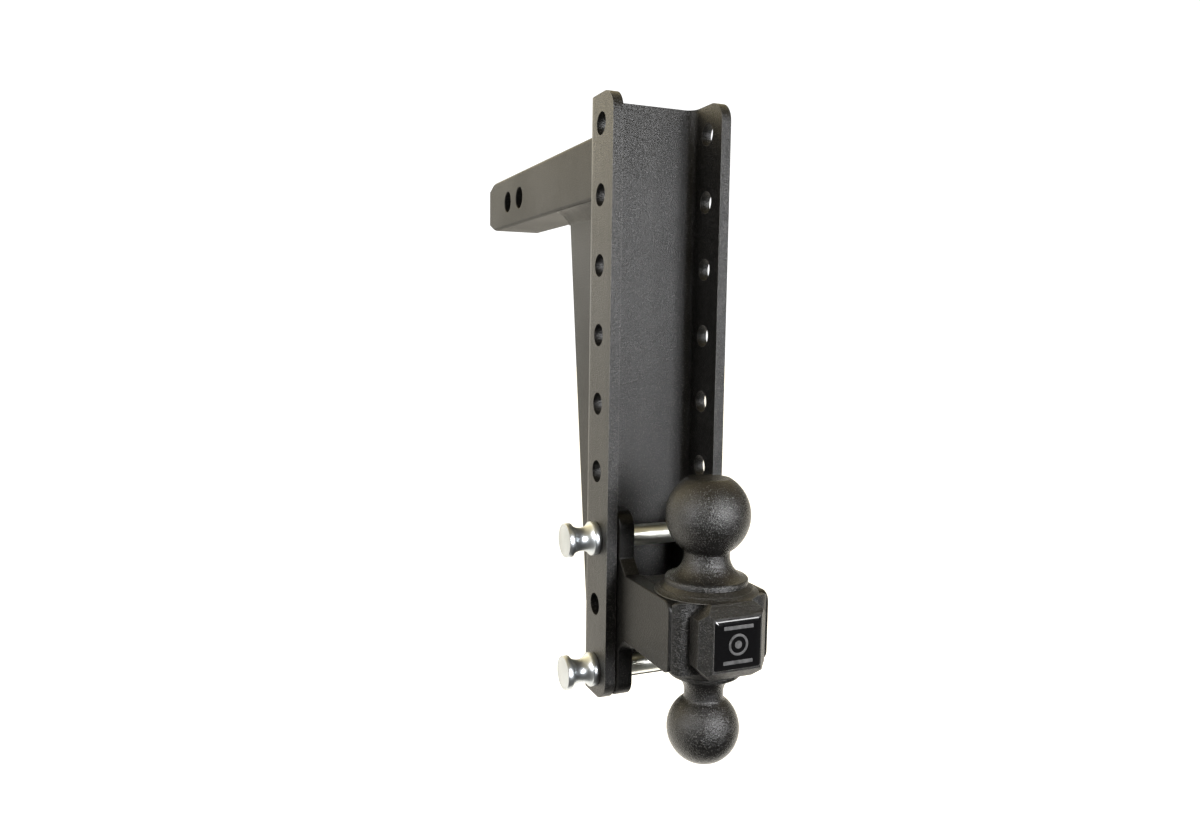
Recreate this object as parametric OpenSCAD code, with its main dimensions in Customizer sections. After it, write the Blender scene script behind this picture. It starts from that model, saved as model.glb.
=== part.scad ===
// Drop-channel trailer hitch with a pinned double-ball mount.
//
// A square shank slides into a vehicle's receiver. It is welded to the back of an upright
// drilled channel, and a long gusset plate carries the load down the channel's back. A ball
// block with a ball above and a ball below sits between the channel's flanges on two pins,
// and it is moved up or down one hole at a time.
//
// Origin: centre of the receiver pin hole nearer the shank's free end.
// +X is to the right as seen from the balls, +Y runs along the shank to the vehicle, +Z is up.

/* [Shank] */
// Side of the square shank
shank_side = 50.8; // [50:0.1:51.5]
// Radius along the shank's four long edges
shank_edge_r = 3; // [1:0.5:6]
// Distance from the first pin hole to the shank's free end
shank_end = 66; // [40:1:80]
// Length of the lead-in slope at the free end
lead_in_len = 19.5; // [5:0.5:30]
// Depth of the lead-in slope at the free end
lead_in_deep = 7.6; // [2:0.2:12]
// Diameter of the receiver pin holes
shank_hole_d = 20.6; // [16:0.1:22]
// Distance between the two receiver pin holes
shank_hole_gap = 38.1; // [30:0.1:60]

/* [Channel] */
// Distance from the first receiver pin hole to the line of adjusting holes
reach = 301; // [220:1:340]
// Height of the shank's centre above the lowest adjusting hole
shank_rise = 386.7; // [360:0.1:392]
// Outside width of the channel
chan_w = 95.25; // [93:0.25:98]
// Thickness of the bent channel plate
chan_t = 7.94; // [7:0.02:9]
// Outside radius of the two bent corners
bend_r = 16; // [12:0.5:18]
// Distance from the adjusting holes to the flanges' front edges
flange_front = 21.6; // [18:0.1:26]
// Distance from the adjusting holes to the front face of the web
web_set = 22.2; // [20:0.1:28]
// Corner radius of the flanges' free corners
flange_corner_r = 15.8; // [5:0.1:18]
// Number of adjusting holes in each flange
hole_count = 9; // [9:1:9]
// Distance between adjusting holes
hole_pitch = 50.8; // [50.8:0.1:50.8]
// Diameter of the adjusting holes
hole_d = 16.67; // [16.3:0.01:17.5]
// Plate above the top hole
end_top = 21.7; // [18:0.1:30]
// Plate below the lowest hole
end_low = 19.4; // [18:0.1:30]

/* [Gusset] */
// Thickness of the gusset plate
gusset_t = 25.4; // [12:0.2:26]
// Depth of the gusset behind the web, under the shank
gusset_top_deep = 124; // [60:1:150]
// Depth of the gusset behind the web, at its lower end
gusset_low_deep = 74; // [40:1:100]
// Height of the gusset's lower back corner above the lowest hole
gusset_heel = 20; // [10:1:60]

/* [Welds] */
// Leg of the weld between gusset and shank
top_weld = 12; // [6:0.5:12.5]
// Leg of the weld between shank and channel
shank_weld_leg = 10; // [6:0.5:14]
// Leg of the weld between gusset and channel
side_weld = 8; // [4:0.5:12]
// Leg of the ring weld around each ball's collar
ball_weld = 3; // [1.5:0.5:4]
// Leg of the weld between cheek plates and block
cheek_weld = 6; // [3:0.5:8]

/* [Ball block] */
// Width over the two cheek plates
mount_w = 77; // [74:0.5:78]
// Height of the block and of the cheek plates' arms
block_h = 49.2; // [46:0.2:54]
// Height of the block's centre above the lower pin
block_rise = 55.9; // [50:0.1:60]
// Distance from the adjusting holes to the balls' centre line
ball_reach = 85; // [80:0.5:90]
// Distance from the adjusting holes to the block's rear face
block_rear = 40; // [36:1:46]
// Distance from the adjusting holes to the front ends of the cheek plates
cheek_reach = 104.5; // [100:0.5:106]
// Distance from the adjusting holes to the block's front face
block_front = 110; // [109:0.5:114]
// Radius of the block's upright front corners
block_corner_r = 12.5; // [6:0.5:12.5]
// Radius of the block's upper and lower front corners
block_edge_r = 7; // [3:0.5:9]

/* [Front boss] */
// Width of the boss
boss_w = 50.8; // [44:0.2:52]
// Distance from the adjusting holes to the boss's front face
boss_front = 128; // [124:0.5:134]
// Width of the slope around the boss's front face
boss_slope = 7.3; // [4:0.1:9]
// Size of the cuts across the boss's four corners
boss_cut = 9.5; // [6:0.5:12]
// Width of the badge
badge_w = 34.6; // [28:0.2:35.6]
// Height of the badge
badge_h = 33.2; // [28:0.2:35.6]

/* [Cheek plates] */
// Thickness of a cheek plate
cheek_t = 12; // [10:0.5:12.7]
// Height of a cheek plate's lug, from end to end
lug_h = 140.6; // [136:0.2:150]
// Distance from the block's centre down to the middle of the lugs
lug_drop = 1.8; // [0:0.1:4]
// Distance from the adjusting holes to the lugs' front edges
lug_front = 24.2; // [20:0.2:28]
// Distance from the adjusting holes to the lugs' rear edges
lug_rear = 17; // [14:0.5:19]
// Corner radius of the lugs
lug_r = 12; // [5:0.5:14]
// Size of the slopes where the lug meets the arm
lug_slope = 10; // [4:0.5:14]
// Diameter of the pin holes in the lugs
lug_hole_d = 16.3; // [16:0.05:16.6]

/* [Balls] */
// Diameter of the upper ball
top_ball_d = 58.74; // [58.74:0.01:58.74]
// Height of the upper ball's centre above the block's centre
top_ball_rise = 77.4; // [74:0.1:80]
// Diameter of the upper ball's neck
top_neck_d = 31.5; // [30:0.1:34]
// Diameter of the lower ball
low_ball_d = 50.8; // [50.8:0.01:50.8]
// Depth of the lower ball's centre below the block's centre
low_ball_drop = 73.3; // [72:0.1:78]
// Diameter of the lower ball's neck
low_neck_d = 27.3; // [26:0.1:30]
// Diameter of the spigots that hold the balls in the block
spigot_d = 31.75; // [25:0.05:35]

/* [Pins] */
// Diameter of the pins
pin_d = 15.875; // [15.8:0.005:16]
// Diameter of the turned knobs
knob_d = 25.4; // [22:0.2:30]
// Length of the turned knobs
knob_len = 25.4; // [20:0.2:32]
// Diameter of the knobs' waists
knob_waist_d = 17.2; // [16:0.2:20]
// Distance from the channel's right face to the middle of the clip hole
clip_out = 9; // [7:0.5:12]
// Distance from the clip hole to the tip of the pin
pin_tip = 9.5; // [7:0.5:14]
// Diameter of the clips' spring wire
wire_d = 3.2; // [2.4:0.1:3.6]

/* [Hidden] */

// Roundness of all true circles
$fn = 96;
// Extra length that lets a cutter run past the face it cuts
past = 1;
// Room between a welded spigot and its bore, on the radius
fit_gap = 0.05;

// Places shared by several sub-parts
hole_y = -reach;
low_hole_z = -shank_rise;
web_front_y = hole_y + web_set;
web_back_y = web_front_y + chan_t;
flange_y = hole_y - flange_front;
chan_low_z = low_hole_z - end_low;
chan_h = (hole_count - 1) * hole_pitch + end_low + end_top;
shank_low_z = -shank_side / 2;
pin_z = [low_hole_z, low_hole_z + 2 * hole_pitch];

// Gusset outline, with its lower edge sloping back to the web
gusset_low_z = chan_low_z + 5;
gusset_toe_y = web_back_y + 20;

// Ball block
block_z = low_hole_z + block_rise;
ball_y = hole_y - ball_reach;
core_w = mount_w - 2 * cheek_t;
boss_half = boss_w / 2;
boss_front_y = hole_y - boss_front;
boss_side_y = boss_front_y + boss_slope;
front_y = hole_y - block_front;
shoulder_y = hole_y - cheek_reach;

// Badge: it stands in a shallow pocket of the boss
badge_deep = 1;
badge_proud = 0.7;
badge_r = 1.5;
badge_face_y = boss_front_y - badge_proud;
emblem_t = 0.5;

// Turned collars of the balls, and the raised pads of the block below them
top_flare_r = 15.5;
top_collar_r = 28.7;
top_collar_t = 6.6;
top_pad_h = 3;
top_pad_r = [32.2, 36];
low_flare_r = 14;
low_collar_r = 25.6;
low_collar_t = 5.4;
low_pad_h = 3.4;
low_pad_r = [29, 31];
collar_edge = 0.8;
spigot_len = 20;
top_flat = 25.4;
low_flat = 21.8;

// Pins: they run from the knob on the left to the tip on the right
pin_right_x = chan_w / 2 + clip_out + pin_tip;
clip_x = chan_w / 2 + clip_out;
tip_slope = 1.5;
wire_hole_d = wire_d + 0.8;
knob_socket = 12;

// Clip: a straight leg through the pin, a ring on top and a bowed leg in front of the pin
clip_low = 25;
bow_r = pin_d / 2 + 0.3 + wire_d / 2;
bow_angle = 50;
neck_bend_r = 4;
ring_start = 100;
toe_end = 225;
toe_len = 5;
wire_trim = 0.2;
wire_sides = 12;

// ---------- shared shapes ----------

// Flat outline in X and Y with its two back corners rounded
module rounded_back(width, y0, y1, r) {
    translate([-width / 2, y0]) square([width, y1 - r - y0]);
    translate([-width / 2 + r, y1 - r - past]) square([width - 2 * r, r + past]);
    for (side = [-1, 1])
        translate([side * (width / 2 - r), y1 - r]) circle(r = r);
}

// Flat rectangle from corner a to corner b with all four corners rounded
module rounded_rect(a, b, r) {
    translate([a[0] + r, a[1]]) square([b[0] - a[0] - 2 * r, b[1] - a[1]]);
    translate([a[0], a[1] + r]) square([b[0] - a[0], b[1] - a[1] - 2 * r]);
    for (x = [a[0] + r, b[0] - r], y = [a[1] + r, b[1] - r])
        translate([x, y]) circle(r = r);
}

// Turns a flat outline drawn in Y and Z into a plate from x0 to x1
module plate_x(x0, x1) {
    translate([x0, 0, 0])
        rotate([90, 0, 90])
            linear_extrude(height = x1 - x0) children();
}

// Turns a flat outline drawn in X and Z into a block from y0 to y1
module block_y(y0, y1) {
    translate([0, y1, 0])
        rotate([90, 0, 0])
            linear_extrude(height = y1 - y0) children();
}

// Round cutter along X through everything at y, z
module bore_x(y, z, d, half) {
    translate([-half, y, z])
        rotate([0, 90, 0]) cylinder(h = 2 * half, d = d);
}

// Hollow fillet outline: square corner at the origin, legs along +X and +Y
module fillet_2d(leg) {
    difference() {
        square(leg);
        translate([leg, leg]) circle(r = leg);
    }
}

// ---------- root: the weldment that fits the vehicle ----------

module channel() {
    color("#3a3937")
    difference() {
        intersection() {
            translate([0, 0, chan_low_z])
                linear_extrude(height = chan_h)
                    difference() {
                        rounded_back(chan_w, flange_y, web_back_y, bend_r);
                        rounded_back(chan_w - 2 * chan_t, flange_y - past, web_front_y,
                                     bend_r - chan_t);
                    }
            // side outline, which rounds the flanges' free corners
            plate_x(-chan_w, chan_w)
                union() {
                    rounded_rect([flange_y, chan_low_z],
                                 [flange_y + 2.2 * flange_corner_r, chan_low_z + chan_h],
                                 flange_corner_r);
                    translate([flange_y + flange_corner_r, chan_low_z])
                        square([web_back_y - flange_y, chan_h]);
                }
        }
        for (i = [0 : hole_count - 1])
            bore_x(hole_y, low_hole_z + i * hole_pitch, hole_d, chan_w / 2 + past);
    }
}

module shank() {
    half = shank_side / 2;
    color("#3c3a38")
    difference() {
        intersection() {
            block_y(web_back_y, shank_end)
                rounded_rect([-half, -half], [half, half], shank_edge_r);
            // side outline with the lead-in slopes at the free end
            plate_x(-shank_side, shank_side)
                polygon([
                    [web_back_y - past, -half - past],
                    [shank_end - lead_in_len, -half - past],
                    [shank_end - lead_in_len, -half],
                    [shank_end, -half + lead_in_deep],
                    [shank_end, half - lead_in_deep],
                    [shank_end - lead_in_len, half],
                    [shank_end - lead_in_len, half + past],
                    [web_back_y - past, half + past]
                ]);
        }
        for (y = [0, -shank_hole_gap])
            bore_x(y, 0, shank_hole_d, shank_side);
    }
}

// Fillet weld on the top and both sides of the shank, against the back of the channel
module shank_weld() {
    half = shank_side / 2;
    leg = shank_weld_leg;
    color("#2f2e2c")
    translate([0, web_back_y, 0])
    difference() {
        union() {
            // along the two sides
            for (side = [0, 1])
                mirror([side, 0, 0])
                    translate([half, 0, -half])
                        linear_extrude(height = shank_side - shank_edge_r) fillet_2d(leg);
            // along the top
            translate([-half + shank_edge_r, 0, half])
                rotate([90, 0, 90])
                    linear_extrude(height = shank_side - 2 * shank_edge_r) fillet_2d(leg);
            // around the two upper corners
            for (side = [0, 1])
                mirror([side, 0, 0])
                    translate([half - shank_edge_r, 0, half - shank_edge_r])
                        rotate([-90, 0, 0])
                            rotate_extrude(angle = -90)
                                translate([shank_edge_r, 0]) fillet_2d(leg);
        }
        // the shank itself
        translate([0, -past, 0])
            block_y(0, 2 * leg)
                rounded_rect([-half, -half - leg], [half, half], shank_edge_r);
    }
}

module gusset() {
    color("#383735")
    plate_x(-gusset_t / 2, gusset_t / 2)
        polygon([
            [web_back_y, gusset_low_z],
            [gusset_toe_y, gusset_low_z],
            [web_back_y + gusset_low_deep, low_hole_z + gusset_heel],
            [web_back_y + gusset_top_deep, shank_low_z],
            [web_back_y, shank_low_z]
        ]);
}

// Welds down both sides of the gusset, and around its top edge under the shank
module gusset_welds() {
    half = gusset_t / 2;
    back = web_back_y + gusset_top_deep;
    seam = shank_low_z - gusset_low_z;
    lean = atan((gusset_top_deep - gusset_low_deep)
                / (shank_low_z - low_hole_z - gusset_heel));
    color("#2f2e2c")
    difference() {
        union() {
            for (side = [0, 1])
                mirror([side, 0, 0]) {
                    // gusset to web
                    translate([half, web_back_y, gusset_low_z])
                        linear_extrude(height = seam) fillet_2d(side_weld);
                    // gusset to shank
                    translate([half, web_back_y, shank_low_z])
                        rotate([-90, 0, 0])
                            linear_extrude(height = gusset_top_deep) fillet_2d(top_weld);
                    // round the gusset's back corner
                    translate([half, back, shank_low_z])
                        mirror([0, 0, 1])
                            rotate_extrude(angle = 90) fillet_2d(top_weld);
                }
            // across the gusset's back edge
            translate([-half, back, shank_low_z])
                rotate([0, 90, 0])
                    linear_extrude(height = gusset_t) fillet_2d(top_weld);
        }
        // the gusset itself
        plate_x(-half, half)
            polygon([
                [web_back_y - past, gusset_low_z - past],
                [back - (seam + past) * tan(lean), gusset_low_z - past],
                [back, shank_low_z],
                [web_back_y - past, shank_low_z]
            ]);
    }
}

// ---------- ball mount ----------

// Square outline of the boss in X and Z with its corners cut, made smaller by inset
module boss_outline(inset) {
    half = boss_half - inset;
    cut = boss_cut - inset;
    polygon([
        [-half, -half + cut], [-half + cut, -half], [half - cut, -half], [half, -half + cut],
        [half, half - cut], [half - cut, half], [-half + cut, half], [-half, half - cut]
    ]);
}

// Solid slopes of the boss: the part common to a wedge across X and a wedge across Z
module boss_slopes() {
    deep = boss_side_y - boss_front_y;
    wedge = [
        [boss_half, front_y + past], [boss_half, boss_side_y],
        [boss_half - deep, boss_front_y], [-boss_half + deep, boss_front_y],
        [-boss_half, boss_side_y], [-boss_half, front_y + past]
    ];
    intersection() {
        translate([0, 0, -boss_w]) linear_extrude(height = 2 * boss_w) polygon(wedge);
        rotate([0, 90, 0])
            translate([0, 0, -boss_w]) linear_extrude(height = 2 * boss_w) polygon(wedge);
        block_y(boss_front_y - past, front_y + 2 * past) boss_outline(0);
    }
}

module ball_block() {
    half_h = block_h / 2;
    head_x = mount_w / 2;
    color("#353432")
    translate([0, 0, block_z])
    difference() {
        union() {
            // core between the cheek plates
            translate([-core_w / 2, shoulder_y - past, -half_h])
                cube([core_w, hole_y - block_rear - shoulder_y + past, block_h]);
            // head in front of the cheek plates, rounded at the corners
            intersection() {
                translate([0, 0, -half_h])
                    linear_extrude(height = block_h)
                        mirror([0, 1, 0])
                            rounded_back(mount_w, -hole_y, -front_y, block_corner_r);
                block_y(front_y - past, shoulder_y)
                    rounded_rect([-head_x, -half_h], [head_x, half_h], block_edge_r);
            }
            boss_slopes();
            // raised pads under the two balls' collars
            translate([0, ball_y, half_h])
                cylinder(h = top_pad_h, r1 = top_pad_r[1], r2 = top_pad_r[0]);
            translate([0, ball_y, -half_h - low_pad_h])
                cylinder(h = low_pad_h, r1 = low_pad_r[0], r2 = low_pad_r[1]);
        }
        // sockets for the balls' spigots
        for (side = [0, 1])
            mirror([0, 0, side])
                translate([0, ball_y, half_h - spigot_len])
                    cylinder(h = spigot_len + 2 * top_pad_h, d = spigot_d + 2 * fit_gap);
        // pocket for the badge
        block_y(boss_front_y - past, boss_front_y + badge_deep)
            rounded_rect([-badge_w / 2 - fit_gap, -badge_h / 2 - fit_gap],
                         [badge_w / 2 + fit_gap, badge_h / 2 + fit_gap],
                         badge_r + fit_gap);
    }
}

// Side outline of a cheek plate in Y and Z: an upright lug and an arm to the front
module cheek_outline() {
    half_h = block_h / 2;
    arm_r = 7;
    rounded_rect([hole_y - lug_front, -lug_h / 2 - lug_drop],
                 [hole_y + lug_rear, lug_h / 2 - lug_drop], lug_r);
    rounded_rect([shoulder_y, -half_h], [hole_y, half_h], arm_r);
    // slopes above and below the arm
    polygon([
        [hole_y - lug_front - lug_slope, -half_h],
        [hole_y - lug_front, -half_h - lug_slope],
        [hole_y, -half_h - lug_slope],
        [hole_y, half_h + lug_slope],
        [hole_y - lug_front, half_h + lug_slope],
        [hole_y - lug_front - lug_slope, half_h]
    ]);
}

module cheek_plate() {
    color("#454239")
    difference() {
        translate([0, 0, block_z])
            plate_x(mount_w / 2 - cheek_t, mount_w / 2) cheek_outline();
        for (z = pin_z)
            bore_x(hole_y, z, lug_hole_d, mount_w);
    }
}

module left_cheek_plate() {
    mirror([1, 0, 0]) cheek_plate();
}

module right_cheek_plate() {
    cheek_plate();
}

// Upright welds between the cheek plates and the rear face of the block
module cheek_welds() {
    color("#2f2e2c")
    for (side = [0, 1])
        mirror([side, 0, 0])
            translate([core_w / 2, hole_y - block_rear, block_z - block_h / 2])
                rotate([0, 0, 90])
                    linear_extrude(height = block_h) fillet_2d(cheek_weld);
}

// Half outline of a ball with neck, collar and spigot, standing on z = 0 at the pad's top
module ball_outline(ball_r, rise, flat, neck_r, flare_r, flare_z, collar_r, collar_t, pad_h) {
    // ball with a flat on top
    intersection() {
        translate([0, rise]) circle(r = ball_r);
        square([ball_r + past, rise + flat]);
    }
    // neck
    square([neck_r, rise - ball_r / 2]);
    // flare between neck and collar
    difference() {
        square([min(collar_r, neck_r + flare_r), flare_z]);
        translate([neck_r + flare_r, flare_z]) circle(r = flare_r);
    }
    // collar
    polygon([
        [0, 0], [collar_r - collar_edge, 0], [collar_r, collar_edge],
        [collar_r, collar_t - collar_edge], [collar_r - collar_edge, collar_t], [0, collar_t]
    ]);
    // spigot
    translate([0, -pad_h - spigot_len + past]) square([spigot_d / 2, pad_h + spigot_len]);
}

module upper_ball() {
    top_z = block_h / 2 + top_pad_h;
    color("#3a3a3a")
    translate([0, ball_y, block_z + top_z])
        rotate_extrude()
            ball_outline(top_ball_d / 2, top_ball_rise - top_z, top_flat, top_neck_d / 2,
                         top_flare_r, top_collar_t + top_flare_r, top_collar_r,
                         top_collar_t, top_pad_h);
}

module lower_ball() {
    low_z = block_h / 2 + low_pad_h;
    color("#3a3a3a")
    translate([0, ball_y, block_z - low_z])
        mirror([0, 0, 1])
            rotate_extrude()
                ball_outline(low_ball_d / 2, low_ball_drop - low_z, low_flat, low_neck_d / 2,
                             low_flare_r, low_collar_t + low_flare_r, low_collar_r,
                             low_collar_t, low_pad_h);
}

// Ring welds that hold the collars on the pads
module ball_welds() {
    color("#2f2e2c")
    translate([0, ball_y, block_z]) {
        translate([0, 0, block_h / 2 + top_pad_h])
            rotate_extrude() translate([top_collar_r, 0]) fillet_2d(ball_weld);
        mirror([0, 0, 1])
            translate([0, 0, block_h / 2 + low_pad_h])
                rotate_extrude() translate([low_collar_r, 0]) fillet_2d(ball_weld);
    }
}

module badge_plate() {
    color("#0c0c0c")
    translate([0, 0, block_z])
        block_y(badge_face_y, boss_front_y + badge_deep)
            rounded_rect([-badge_w / 2, -badge_h / 2], [badge_w / 2, badge_h / 2], badge_r);
}

// Plain raised sign on the badge: a ring with a dot, between two bars
module badge_emblem() {
    bar = [22, 2.4];
    bar_z = 11.6;
    ring = [7.2, 5.6];
    dot_r = 2.6;
    color("#9a9a98")
    translate([0, 0, block_z])
        block_y(badge_face_y - emblem_t, badge_face_y) {
            for (side = [-1, 1])
                translate([-bar[0] / 2, side * bar_z - bar[1] / 2]) square(bar);
            difference() {
                circle(r = ring[0]);
                circle(r = ring[1]);
            }
            circle(r = dot_r);
        }
}

// ---------- pins and clips ----------

// Pin along X with sloped tip, a cross hole for the clip and a stub inside the knob
module pin(z) {
    start_x = -chan_w / 2 - knob_socket;
    color("#c9c8c2")
    translate([0, hole_y, z])
    difference() {
        rotate([0, 90, 0]) {
            translate([0, 0, start_x])
                cylinder(h = pin_right_x - tip_slope - start_x, d = pin_d);
            translate([0, 0, pin_right_x - tip_slope])
                cylinder(h = tip_slope, d1 = pin_d, d2 = pin_d - 2 * tip_slope);
        }
        translate([clip_x, 0, -pin_d]) cylinder(h = 2 * pin_d, d = wire_hole_d);
    }
}

module upper_pin() {
    pin(pin_z[1]);
}

module lower_pin() {
    pin(pin_z[0]);
}

// Hourglass knob turned to a waist between two discs, bored for the pin
module knob(z) {
    disc_t = 5;
    edge = 0.8;
    big = knob_d / 2;
    waist = knob_waist_d / 2;
    // radius of the arc that runs from disc to disc through the waist
    span = knob_len / 2 - disc_t;
    rise = big - edge - waist;
    arc_r = (span * span + rise * rise) / (2 * rise);
    color("#d2d0c8")
    translate([-chan_w / 2, hole_y, z])
        rotate([0, -90, 0])
            rotate_extrude()
                difference() {
                    polygon([
                        [0, 0], [big - edge, 0], [big, edge], [big, knob_len - edge],
                        [big - edge, knob_len], [0, knob_len]
                    ]);
                    translate([waist + arc_r, knob_len / 2]) circle(r = arc_r);
                    square([pin_d / 2 + 0.01, knob_socket + 0.01]);
                }
}

module upper_pin_knob() {
    knob(pin_z[1]);
}

module lower_pin_knob() {
    knob(pin_z[0]);
}

// Bent length of clip wire in a flat plane: centre, radius, and angles from start to end
module wire_bend(centre, r, from, to) {
    trim = wire_trim / r * 180 / PI;
    translate(centre)
        rotate([0, 0, from + trim])
            rotate_extrude(angle = to - from - 2 * trim)
                translate([r, 0]) circle(d = wire_d, $fn = wire_sides);
}

// Straight length of clip wire in the same plane, starting at a point in a direction
module wire_run(start, len, direction) {
    translate(start)
        rotate([0, 0, direction])
            rotate([0, 90, 0]) cylinder(h = len, d = wire_d, $fn = wire_sides);
}

// Slight swelling of the wire where one bend ends and the next begins
module wire_joint(place, direction) {
    translate(place)
        rotate([0, 0, direction])
            rotate([0, 90, 0])
                cylinder(h = 6 * wire_trim, d = wire_d + 0.2, $fn = wire_sides, center = true);
}

// Spring clip bent from one wire, in the upright plane of the pin's clip hole
module clip(z) {
    // middle of the bend between bow and ring
    neck = (bow_r + neck_bend_r) * [cos(bow_angle), sin(bow_angle)];
    ring_r = (neck[0] + neck_bend_r * cos(ring_start)) / (1 - cos(ring_start));
    ring = [ring_r, neck[1] + (neck_bend_r + ring_r) * sin(ring_start)];
    toe_bend = [neck[0], -neck[1]];
    toe = toe_bend + neck_bend_r * [cos(toe_end), sin(toe_end)];
    color("#b9b8b2")
    translate([clip_x, hole_y, z])
        rotate([90, 0, -90])
            union() {
                wire_run([0, -clip_low], clip_low + ring[1] - wire_trim, 90);
                wire_joint([0, ring[1]], 90);
                wire_bend(ring, ring_r, ring_start - 180, 180);
                wire_joint(neck + neck_bend_r * [cos(ring_start), sin(ring_start)],
                           ring_start + 90);
                wire_bend(neck, neck_bend_r, ring_start, 180 + bow_angle);
                wire_joint(bow_r * [cos(bow_angle), sin(bow_angle)], bow_angle + 90);
                wire_bend([0, 0], bow_r, -bow_angle, bow_angle);
                wire_joint(bow_r * [cos(bow_angle), -sin(bow_angle)], 90 - bow_angle);
                wire_bend(toe_bend, neck_bend_r, 180 - bow_angle, toe_end);
                wire_joint(toe, toe_end + 90);
                wire_run(toe + wire_trim * [-sin(toe_end), cos(toe_end)], toe_len, toe_end + 90);
            }
}

module upper_clip() {
    clip(pin_z[1]);
}

module lower_clip() {
    clip(pin_z[0]);
}

channel();
shank();
shank_weld();
gusset();
gusset_welds();
ball_block();
left_cheek_plate();
right_cheek_plate();
cheek_welds();
upper_ball();
lower_ball();
ball_welds();
badge_plate();
badge_emblem();
upper_pin();
upper_pin_knob();
lower_pin();
lower_pin_knob();
upper_clip();
lower_clip();
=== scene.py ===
"""Looks of the drop-channel trailer hitch: detailed pieces, finishes, light and camera.

The pieces are drawn in millimetres, which new_object turns into metres. The floor, the
lights and the camera are placed in metres.
"""

import math

import bmesh
import bpy
from mathutils import Matrix, Vector, noise


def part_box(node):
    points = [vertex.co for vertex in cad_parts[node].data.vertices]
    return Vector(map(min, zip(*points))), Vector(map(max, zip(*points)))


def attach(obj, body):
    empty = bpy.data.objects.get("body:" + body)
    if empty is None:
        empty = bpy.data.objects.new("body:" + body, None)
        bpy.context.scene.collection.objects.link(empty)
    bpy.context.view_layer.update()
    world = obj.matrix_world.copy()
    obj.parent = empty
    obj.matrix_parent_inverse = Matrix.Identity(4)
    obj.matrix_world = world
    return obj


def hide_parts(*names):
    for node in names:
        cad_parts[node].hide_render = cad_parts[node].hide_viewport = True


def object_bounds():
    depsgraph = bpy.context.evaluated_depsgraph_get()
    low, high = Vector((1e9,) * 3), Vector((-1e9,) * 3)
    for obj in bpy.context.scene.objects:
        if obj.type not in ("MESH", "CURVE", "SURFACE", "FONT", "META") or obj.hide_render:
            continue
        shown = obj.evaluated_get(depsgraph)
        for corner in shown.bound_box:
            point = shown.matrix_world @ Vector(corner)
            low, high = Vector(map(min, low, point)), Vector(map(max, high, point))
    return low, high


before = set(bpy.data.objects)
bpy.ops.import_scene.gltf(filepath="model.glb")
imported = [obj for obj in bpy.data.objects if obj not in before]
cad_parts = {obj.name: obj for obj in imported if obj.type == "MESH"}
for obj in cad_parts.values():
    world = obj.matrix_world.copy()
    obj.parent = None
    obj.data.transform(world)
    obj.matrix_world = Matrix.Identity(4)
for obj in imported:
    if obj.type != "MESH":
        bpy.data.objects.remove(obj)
cad_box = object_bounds()

MM = 0.001
scene = bpy.context.scene


# ---------------------------------------------------------------- places taken from the frame
def box_mm(node):
    """(lowest corner, highest corner) of a CAD node, in millimetres."""
    low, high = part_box(node)
    return low / MM, high / MM


def middle(node):
    low, high = box_mm(node)
    return (low + high) / 2


CHANNEL_LOW, CHANNEL_HIGH = box_mm("channel")
SHANK_LOW, SHANK_HIGH = box_mm("shank")
GUSSET_LOW, GUSSET_HIGH = box_mm("gusset")
BLOCK_LOW, BLOCK_HIGH = box_mm("ball_block")
CHEEK_LOW, CHEEK_HIGH = box_mm("right_cheek_plate")
BLOCK_Z = middle("badge_plate").z
BALL_Y = middle("upper_ball").y
UPPER_PIN = middle("upper_pin")
LOWER_PIN = middle("lower_pin")

# the channel's adjusting holes: the lower pin sits in the first and the upper pin in the third
HOLES = 9
HOLE_Y = LOWER_PIN.y
HOLE_Z = LOWER_PIN.z
PITCH = (UPPER_PIN.z - LOWER_PIN.z) / 2

# ---------------------------------------------------------------- sizes shared by pieces
# the gusset's depth behind the channel at its foot, at its bend and at its top
GUSSET_FOOT, GUSSET_BEND, GUSSET_TOP = 20, 74, 124
# and the height of its bend above the first hole
GUSSET_BEND_RISE = 20
# half the height of the forged block
HALF_H = 24.6
# raised pads under the balls: radius on top, radius at the block, height
TOP_PAD = (32.2, 36, 3)
LOW_PAD = (29, 31, 3.4)
# turned collars of the balls: radius, thickness
TOP_COLLAR = (28.7, 6.6)
LOW_COLLAR = (25.6, 5.4)
# half length of a cutter that goes right through any piece
THROUGH = 60


# ---------------------------------------------------------------- mesh helpers
def arc(cx, cy, r, start, end, steps=14):
    """Points of a circular arc, from start to end in degrees."""
    points = []
    for i in range(steps + 1):
        a = math.radians(start + (end - start) * i / steps)
        points.append((cx + r * math.cos(a), cy + r * math.sin(a)))
    return points


def rounded_rect(x0, y0, x1, y1, r, steps=14):
    """Counter-clockwise rectangle with round corners."""
    return (
        arc(x1 - r, y0 + r, r, -90, 0, steps)
        + arc(x1 - r, y1 - r, r, 0, 90, steps)
        + arc(x0 + r, y1 - r, r, 90, 180, steps)
        + arc(x0 + r, y0 + r, r, 180, 270, steps)
    )


def clean(obj, distance=0.002):
    """Merges points that coincide, closes any gap and turns all faces outwards."""
    bm = bmesh.new()
    bm.from_mesh(obj.data)
    bmesh.ops.remove_doubles(bm, verts=bm.verts, dist=distance * MM)
    bmesh.ops.dissolve_degenerate(bm, edges=bm.edges, dist=distance * MM)
    gaps = [edge for edge in bm.edges if edge.is_boundary]
    bmesh.ops.holes_fill(bm, edges=gaps, sides=0)
    bmesh.ops.recalc_face_normals(bm, faces=bm.faces)
    bm.to_mesh(obj.data)
    bm.free()


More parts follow.
